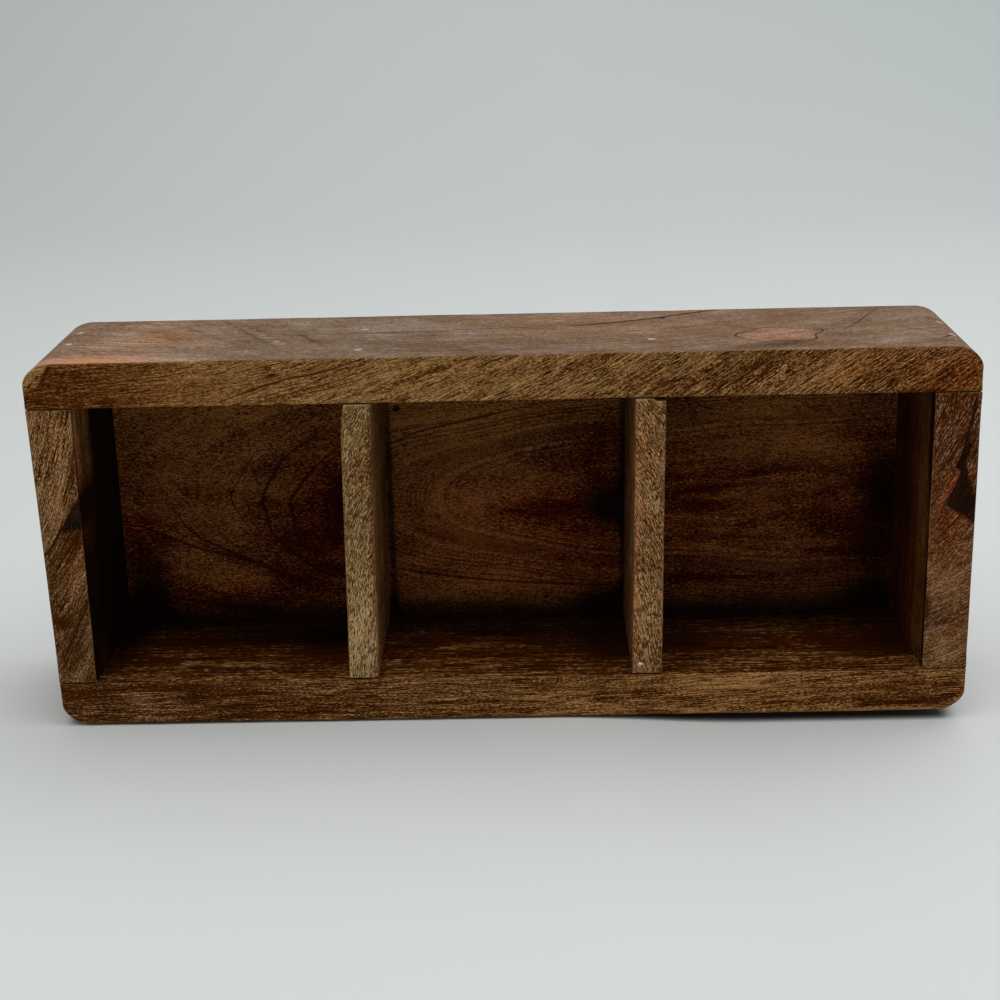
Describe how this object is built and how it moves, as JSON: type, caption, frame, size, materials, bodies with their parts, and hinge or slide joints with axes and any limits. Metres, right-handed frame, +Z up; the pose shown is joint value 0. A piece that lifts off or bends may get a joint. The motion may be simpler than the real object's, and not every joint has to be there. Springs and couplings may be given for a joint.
{
  "type": "wooden organizer box",
  "caption": "Shallow hardwood box open at its mouth, with rounded outer corners and upright dividers that part it into equal compartments, nailed at the joints.",
  "frame": {"origin": "on the floor, under the middle of the box as it stands on its lower long side", "axes": "+X along the length to the right seen from the mouth, +Y from the mouth to the back panel, +Z up"},
  "size_m": [0.305, 0.063, 0.125],
  "materials": {
    "upper_side_wood": "satin clear coat over open-pored hardwood",
    "lower_side_wood": "satin clear coat over open-pored hardwood",
    "left_end_wood": "satin clear coat over open-pored hardwood",
    "right_end_wood": "satin clear coat over open-pored hardwood",
    "divider_wood": "satin clear coat over open-pored hardwood",
    "panel_wood": "satin clear coat over open-pored hardwood",
    "brad_steel": "bare wire, set flush"
  },
  "bodies": {
    "root": {"upper_side": "upper_side_wood", "lower_side": "lower_side_wood", "left_end": "left_end_wood", "right_end": "right_end_wood", "left_divider": "divider_wood", "right_divider": "divider_wood", "back_panel": "panel_wood", "upper_brad_left_end_front": "brad_steel", "upper_brad_left_end_back": "brad_steel", "upper_brad_left_divider_front": "brad_steel", "upper_brad_left_divider_back": "brad_steel", "upper_brad_right_divider_front": "brad_steel", "upper_brad_right_divider_back": "brad_steel", "upper_brad_right_end_front": "brad_steel", "upper_brad_right_end_back": "brad_steel", "lower_brad_left_end_front": "brad_steel", "lower_brad_left_end_back": "brad_steel", "lower_brad_left_divider_front": "brad_steel", "lower_brad_left_divider_back": "brad_steel", "lower_brad_right_divider_front": "brad_steel", "lower_brad_right_divider_back": "brad_steel", "lower_brad_right_end_front": "brad_steel", "lower_brad_right_end_back": "brad_steel", "toe_brad_right_divider": "brad_steel", "panel_pin_left": "brad_steel", "panel_pin_right": "brad_steel", "panel_pin_upper_1": "brad_steel", "panel_pin_upper_2": "brad_steel", "panel_pin_upper_3": "brad_steel", "panel_pin_upper_4": "brad_steel", "panel_pin_lower_1": "brad_steel", "panel_pin_lower_2": "brad_steel", "panel_pin_lower_3": "brad_steel", "panel_pin_lower_4": "brad_steel"}
  },
  "joints": []
}
